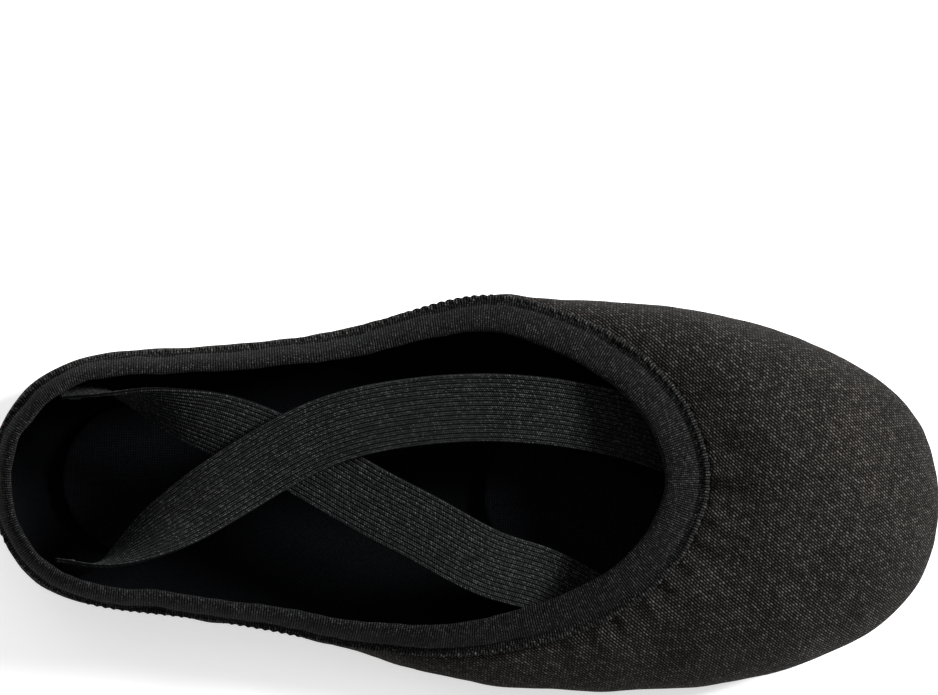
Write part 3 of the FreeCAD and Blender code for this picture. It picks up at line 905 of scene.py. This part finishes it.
BINDING_SECTION = [
    (-0.1, -0.2), (0.0, 0.30), (0.35, 0.46), (0.8, 0.36), (1.15, 0.02), (1.45, -0.06),
    (1.8, 0.12), (2.3, 0.55), (3.1, 0.86), (4.2, 1.04), (5.6, 1.12), (7.0, 1.08), (8.2, 0.90),
    (9.1, 0.55), (9.65, 0.05), (9.8, -0.5), (9.55, -1.05), (8.9, -1.45), (7.6, -1.75),
    (5.6, -1.98), (3.4, -2.18), (1.2, -2.40), (-1.0, -2.58), (-2.3, -2.62), (-2.3, -2.12),
    (-0.1, -2.05),
]
ELASTIC_SECTION = [
    (3.4, -0.1), (3.6, 0.1), (6.4, 0.1), (6.6, -0.1), (6.6, -0.5), (6.4, -0.7), (3.6, -0.7),
    (3.4, -0.5),
]
PIPING_RADIUS = 0.78
PIPING_TWIST = 2.1


def make_binding():
    ribs, run = even_ribs(0.65)
    piece = ring_band("binding", ribs, run, BINDING_SECTION, stray=0.22)
    return finish_piece(piece, BINDING, "arch", top_line_nodes("binding"))


def make_binding_elastic():
    ribs, run = even_ribs(1.3)
    piece = ring_band("binding_elastic", ribs, run, ELASTIC_SECTION)
    nodes = top_line_nodes("binding_elastic")
    return finish_piece(piece, ELASTIC, "arch", nodes)


def make_piping():
    """The corded seam between binding and canvas: two plies twisted together."""
    ribs, run = even_ribs(0.33)
    turns = np.linspace(0, TAU, 11)[:, None]
    ply = 1 + 0.26 * np.cos(2 * turns - TAU * run[None, :] / PIPING_TWIST)
    radius = (PIPING_RADIUS * ply)[..., None]
    centre = ribs.seam - ribs.climb * 0.42 + ribs.face * 0.30
    points = centre + radius * (
        ribs.climb * np.cos(turns)[..., None] + ribs.face * np.sin(turns)[..., None]
    )
    flat = np.dstack(np.broadcast_arrays(run[None, :], turns * PIPING_RADIUS))
    piece = draped_grid("piping", points, flat, closed_ring=True)
    return finish_piece(piece, PIPING, "arch", top_line_nodes("piping"))


# ---------------------------------------------------------------- the elastics and their tacks

# Middle lines of the crossing elastics, front to back: behind the toe, side and height in
# millimetres, and the roll of the band in degrees.
STRAP_FROM_LEFT = (
    (58.0, 11.4, 15.6, -16),
    (66.0, 14.2, 18.8, -16),
    (76.0, 17.2, 22.2, -15),
    (88.0, 19.5, 25.2, -12),
    (106.0, 21.0, 28.4, -4),
    (132.9, 18.7, 30.2, 0),
    (150.1, 14.0, 30.8, 0),
    (168.0, 4.0, 31.5, 4),
    (186.1, -8.7, 32.4, 30),
    (200.0, -17.6, 32.0, 72),
    (210.9, -21.9, 31.6, 104),
    (215.5, -21.6, 31.6, 106),
)
STRAP_FROM_RIGHT = (
    (74.0, -33.6, 13.0, 24),
    (84.0, -27.3, 16.8, 22),
    (97.9, -20.5, 21.4, 16),
    (109.0, -17.4, 25.2, 9),
    (125.0, -9.7, 27.8, 3),
    (139.0, -3.0, 27.6, 0),
    (154.0, 5.0, 27.4, 0),
    (170.1, 12.1, 28.0, -10),
    (186.1, 17.1, 30.2, -42),
    (200.0, 20.6, 31.0, -80),
    (210.9, 22.0, 31.6, -104),
    (215.5, 21.6, 31.6, -106),
)
STRAP_HALF_THICK = 0.50
TACK_THREADS = 24
TACK_WIDTH = 13.0
TACK_LENGTH = 3.0
TACK_THREAD_THICK = 0.50
TACK_FROM_END = 4.0
TACK_ABOVE = 0.72


def strap_frames(rows, spacing=0.9):
    """Middle points, sideways and upward directions at even steps along an elastic."""
    rows = np.array(rows, dtype=float)
    middles = np.column_stack([TOE - rows[:, 0], rows[:, 1], rows[:, 2]])
    knots = np.concatenate([[0], np.cumsum(np.linalg.norm(np.diff(middles, axis=0), axis=1))])
    run = np.linspace(0, knots[-1], int(knots[-1] / spacing))
    line = open_spline(knots, np.column_stack([middles, rows[:, 3]]), run)
    along = unit(np.gradient(line[:, :3], axis=0))
    flat_side = unit(np.cross(np.array([0.0, 0.0, 1.0]), along))
    risen = np.cross(along, flat_side)
    roll = np.radians(line[:, 3])[:, None]
    sideways = flat_side * np.cos(roll) + risen * np.sin(roll)
    return line[:, :3], sideways, np.cross(along, sideways), run


def strap_section():
    """The ribbed cross-section of an elastic: across and up, all the way round."""
    steps = STRAP_RIBS * 6
    share = np.linspace(-1, 1, steps + 1)
    rib = np.abs(np.sin((share + 1) / 2 * math.pi * STRAP_RIBS))
    edge = np.sqrt(np.clip(1 - np.abs(share) ** 26, 0, 1))
    selvedge = 0.06 * np.exp(-(((np.abs(share) - 0.95) / 0.04) ** 2))
    height = (STRAP_HALF_THICK - 0.28 + 0.28 * rib**0.6 + selvedge) * edge
    across = share * STRAP_WIDTH / 2
    top = np.column_stack([across, height])
    under = np.column_stack([across, -height])[::-1][1:]
    return np.vstack([top, under])


def make_strap(side, rows):
    middle, sideways, upward, run = strap_frames(rows)
    section = strap_section()
    across, height = section[:, 0][:, None, None], section[:, 1][:, None, None]
    sag = 0.25 * np.sin(run / 11.0) * np.sin(run / 4.3)
    points = middle + upward * sag[:, None] + sideways * across + upward * height
    flat = np.dstack(np.broadcast_arrays(run[None, :], section[:, 0][:, None]))
    piece = draped_grid(f"instep_elastic_{side}", points, flat)
    settle(piece)
    return finish_piece(piece, STRAP, "arch", (f"elastic_strap_{side}",))


def one_stitch(name, length, thick):
    """One stitch of thread, lying along X, with rounded ends."""
    deselect()
    bpy.ops.mesh.primitive_uv_sphere_add(segments=8, ring_count=6, radius=thick * MM / 2)
    stitch = bpy.context.object
    stitch.name = name
    bpy.ops.object.mode_set(mode="EDIT")
    bpy.ops.transform.rotate(value=math.pi / 2, orient_axis="Y", center_override=(0, 0, 0))
    bpy.ops.object.mode_set(mode="OBJECT")
    stretch = (length - thick) / 2 * MM
    for vertex in stitch.data.vertices:
        vertex.co.x += math.copysign(stretch, vertex.co.x) if abs(vertex.co.x) > 1e-6 else 0
    bpy.ops.object.shade_smooth()
    return stitch


def stitch_copies(name, stitch, places):
    """Copies of a stitch at places given as matrices, joined as one piece."""
    copies = []
    for place in places:
        copy = stitch.copy()
        copy.data = stitch.data.copy()
        copy.data.transform(place)
        bpy.context.collection.objects.link(copy)
        copies.append(copy)
    bpy.data.objects.remove(stitch)
    deselect()
    for copy in copies:
        copy.select_set(True)
    bpy.context.view_layer.objects.active = copies[0]
    bpy.ops.object.join()
    joined = bpy.context.object
    joined.name = name
    joined.data.name = name
    return joined


def frame_matrix(origin, along, across, upward):
    """A placement from an origin in millimetres and three directions."""
    matrix = Matrix((along, across, upward)).transposed().to_4x4()
    matrix.translation = Vector(origin) * MM
    return matrix


def make_tack(end, side, rows, body):
    """A bar tack: threads lying close together, along the elastic, across most of its width."""
    middle, sideways, upward, run = strap_frames(rows)
    away = TACK_FROM_END if end == "front" else run[-1] - TACK_FROM_END
    at = int(np.argmin(np.abs(run - away)))
    along = np.cross(sideways[at], upward[at])
    places = []
    for number in range(TACK_THREADS):
        across = (number / (TACK_THREADS - 1) - 0.5) * TACK_WIDTH
        shift = random_numbers.uniform(-0.2, 0.2)
        origin = middle[at] + sideways[at] * across + upward[at] * TACK_ABOVE + along * shift
        places.append(frame_matrix(origin, along, sideways[at], upward[at]))
    stitch = one_stitch("tack_stitch", TACK_LENGTH, TACK_THREAD_THICK)
    piece = stitch_copies(f"{end}_bar_tack_{side}", stitch, places)
    return finish_piece(piece, TACK_THREAD, body, (f"{end}_tack_{side}",))


# ---------------------------------------------------------------- soles and insoles

ROW_INSETS = (3.5, 7.0)
STITCH_PITCH = 2.1
STITCH_LENGTH = STITCH_PITCH * 0.84
STITCH_THICK = 0.46
STITCH_HEIGHT = 0.34
SOLE_AROUND = 420


def mark_rim(piece, values):
    """Stores a value for every vertex as the attribute named rim."""
    attribute = piece.data.attributes.new("rim", "FLOAT", "POINT")
    attribute.data.foreach_set("value", values.astype(np.float32))


def make_sole_pad(prefix, behind_toe):
    """A suede sole: flat, with two sunk stitching channels and a skived, uneven rim."""
    node = f"{prefix}_sole_pad"
    oval = oval_of(node, behind_toe)
    turn = np.linspace(0, TAU, SOLE_AROUND + 1)
    top_insets = [0.25, 1.2, 3.0, 8.0, 16.0]
    low_insets = [0.0, 0.15, 0.45, 0.9, 1.5, 2.2, 2.8, 3.1, 3.5, 3.9, 4.2, 4.9, 5.7, 6.3]
    low_insets += [6.6, 7.0, 7.4, 7.7, 8.4, 9.6, 11.5, 14.0, 17.0, 20.0]
    ragged = 0.30 * np.sin(turn * 23 + 1.2) * np.sin(turn * 7) + 0.12 * np.sin(turn * 61)
    rows = []
    inset_of_row = []
    for inset in top_insets[::-1]:
        rows.append(oval.ring(turn, inset + ragged * 0.6, PAD_TOP - 0.05))
        inset_of_row.append(inset)
    for inset in low_insets:
        z = 1.35 * math.exp(-((inset / 0.85) ** 1.5))
        for row_inset in ROW_INSETS:
            z += 0.62 * math.exp(-(((inset - row_inset) / 0.42) ** 2))
        rows.append(oval.ring(turn, inset + ragged * (0.6 * math.exp(-inset / 1.5)), z))
        inset_of_row.append(inset)
    points = np.array(rows)
    wave = soft_waves(points * (1, 1, 0), 0.07, 12.0, seed=21) + 0.12
    low = (np.arange(len(rows)) >= len(top_insets)).astype(float)[:, None]
    points[:, :, 2] += np.maximum(wave, 0.0) * low
    piece = draped_grid(f"{prefix}_sole", points, points[:, :, :2])
    insets = np.repeat(inset_of_row, SOLE_AROUND + 1)
    mark_rim(piece, np.exp(-((insets / 1.3) ** 2)))
    settle(piece)
    return finish_piece(piece, SUEDE, prefix, (node,))


def make_stitch_row(prefix, behind_toe, row_name, inset):
    """One row of lockstitches, sunk in its channel."""
    oval = oval_of(f"{prefix}_sole_pad", behind_toe)
    turn = np.linspace(0, TAU, 1441)
    x, y = oval.at(turn, inset)
    run = np.concatenate([[0], np.cumsum(np.hypot(np.diff(x), np.diff(y)))])
    count = int(round(run[-1] / STITCH_PITCH))
    places = []
    for number in range(count):
        middle = (number + 0.5) * run[-1] / count
        ends = np.interp([middle - 0.4, middle + 0.4], run, turn)
        (x_low, x_high), (y_low, y_high) = oval.at(ends, inset)
        along = Vector((x_high - x_low, y_high - y_low, 0)).normalized()
        across = Vector((-along.y, along.x, 0))
        height = STITCH_HEIGHT + random_numbers.uniform(-0.05, 0.05)
        origin = ((x_low + x_high) / 2, (y_low + y_high) / 2, height)
        places.append(frame_matrix(origin, along, across, Vector((0, 0, 1))))
    name = f"{prefix}_stitches_{row_name}"
    stitch = one_stitch("sole_stitch", STITCH_LENGTH, STITCH_THICK)
    piece = stitch_copies(f"{name}_row", stitch, places)
    return finish_piece(piece, SOLE_THREAD, prefix, (name,))


def make_insole(prefix, behind_toe, kind, material):
    """A foam or a sock: an oval pad with a soft edge, a little dished under the foot."""
    node = f"{prefix}_{kind}"
    low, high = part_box(node)
    oval = oval_of(node, behind_toe)
    bottom, top = low[2] / MM, high[2] / MM
    turn = np.linspace(0, TAU, 181)
    half = (top - bottom) / 2
    rows = []
    for inset in (28, 22, 15, 9, 5, 2.5, 1.0):
        rows.append((inset, top - 0.25 * smooth(inset, 3, 18) * (kind == "sock")))
    for angle in np.linspace(90, -90, 7)[1:-1]:
        swell = math.cos(math.radians(angle))
        height = (top + bottom) / 2 + half * math.sin(math.radians(angle))
        rows.append((half * (1 - swell), height))
    for inset in (1.0, 2.5, 5, 9, 15, 20):
        rows.append((inset, bottom))
    limit = min(oval.fore, oval.half_width) - 1.0
    points = np.array([oval.ring(turn, min(inset, limit), z) for inset, z in rows])
    piece = draped_grid(f"{node}_oval", points, points[:, :, :2])
    settle(piece)
    return finish_piece(piece, material, prefix, (node,))


make_canvas()
make_lining()
make_back_tape()
make_binding()
make_binding_elastic()
make_piping()
for strap_side, strap_rows in (("left", STRAP_FROM_LEFT), ("right", STRAP_FROM_RIGHT)):
    make_strap(strap_side, strap_rows)
    make_tack("front", strap_side, strap_rows, "forefoot")
    make_tack("heel", strap_side, strap_rows, "heel")
for sole_prefix, sole_middle in SOLES:
    make_sole_pad(sole_prefix, sole_middle)
    make_stitch_row(sole_prefix, sole_middle, "outer", ROW_INSETS[0])
    make_stitch_row(sole_prefix, sole_middle, "inner", ROW_INSETS[1])
    make_insole(sole_prefix, sole_middle, "insole_foam", FOAM)
    make_insole(sole_prefix, sole_middle, "sock", SOCK)


# ---------------------------------------------------------------- light, floor and camera


# Each light's place and side in millimetres, and its power in watts. Both aim at the origin.
LIGHTS = (
    ("main_light", (1550, 720, 1000), 500, 92.0),
    ("fill_light", (-300, 900, 1500), 1400, 6.0),
)
SKY = 0.38
FLOOR_TONE = 0.86
# The floor is a light table: it glows a little, which softens the shadow on it.
FLOOR_GLOW = 0.5
WHITE = (1, 1, 1, 1)


def area_light(name, place, side, power):
    deselect()
    bpy.ops.object.light_add(type="AREA", location=[value * MM for value in place])
    lamp = bpy.context.object
    lamp.name = name
    lamp.data.shape = "RECTANGLE"
    lamp.data.size = side * MM
    lamp.data.size_y = side * MM
    lamp.data.energy = power
    lamp.rotation_euler = (-Vector(place)).to_track_quat("-Z", "Y").to_euler()


def floor_and_light():
    deselect()
    bpy.ops.mesh.primitive_plane_add(size=6, location=(0, 0, 0))
    floor = bpy.context.object
    floor.name = "floor"
    pale = bpy.data.materials.new("pale_floor")
    pale.use_nodes = True
    shader = pale.node_tree.nodes["Principled BSDF"]
    shader.inputs["Base Color"].default_value = (FLOOR_TONE, FLOOR_TONE, FLOOR_TONE, 1)
    shader.inputs["Roughness"].default_value = 0.9
    shader.inputs["Emission Color"].default_value = WHITE
    shader.inputs["Emission Strength"].default_value = FLOOR_GLOW
    floor.data.materials.append(pale)
    for name, place, side, power in LIGHTS:
        area_light(name, place, side, power)
    world = bpy.data.worlds.new("studio")
    world.use_nodes = True
    background = world.node_tree.nodes["Background"]
    background.inputs["Color"].default_value = WHITE
    background.inputs["Strength"].default_value = SKY
    bpy.context.scene.world = world
    bpy.context.scene.view_settings.view_transform = "Standard"


# The camera looks straight down. Its roll is in degrees, its place, lens and sensor in mm.
ROLL = 2.1
VIEW_CENTRE = (-0.98, 35.4)
CAMERA_HEIGHT = 1600.0
LENS = 248
SENSOR = 36


def camera_above():
    deselect()
    place = (VIEW_CENTRE[0] * MM, VIEW_CENTRE[1] * MM, CAMERA_HEIGHT * MM)
    bpy.ops.object.camera_add(location=place, rotation=(0, 0, math.radians(ROLL)))
    camera = bpy.context.object
    camera.data.sensor_width = SENSOR
    camera.data.lens = LENS
    bpy.context.scene.camera = camera


floor_and_light()
camera_above()
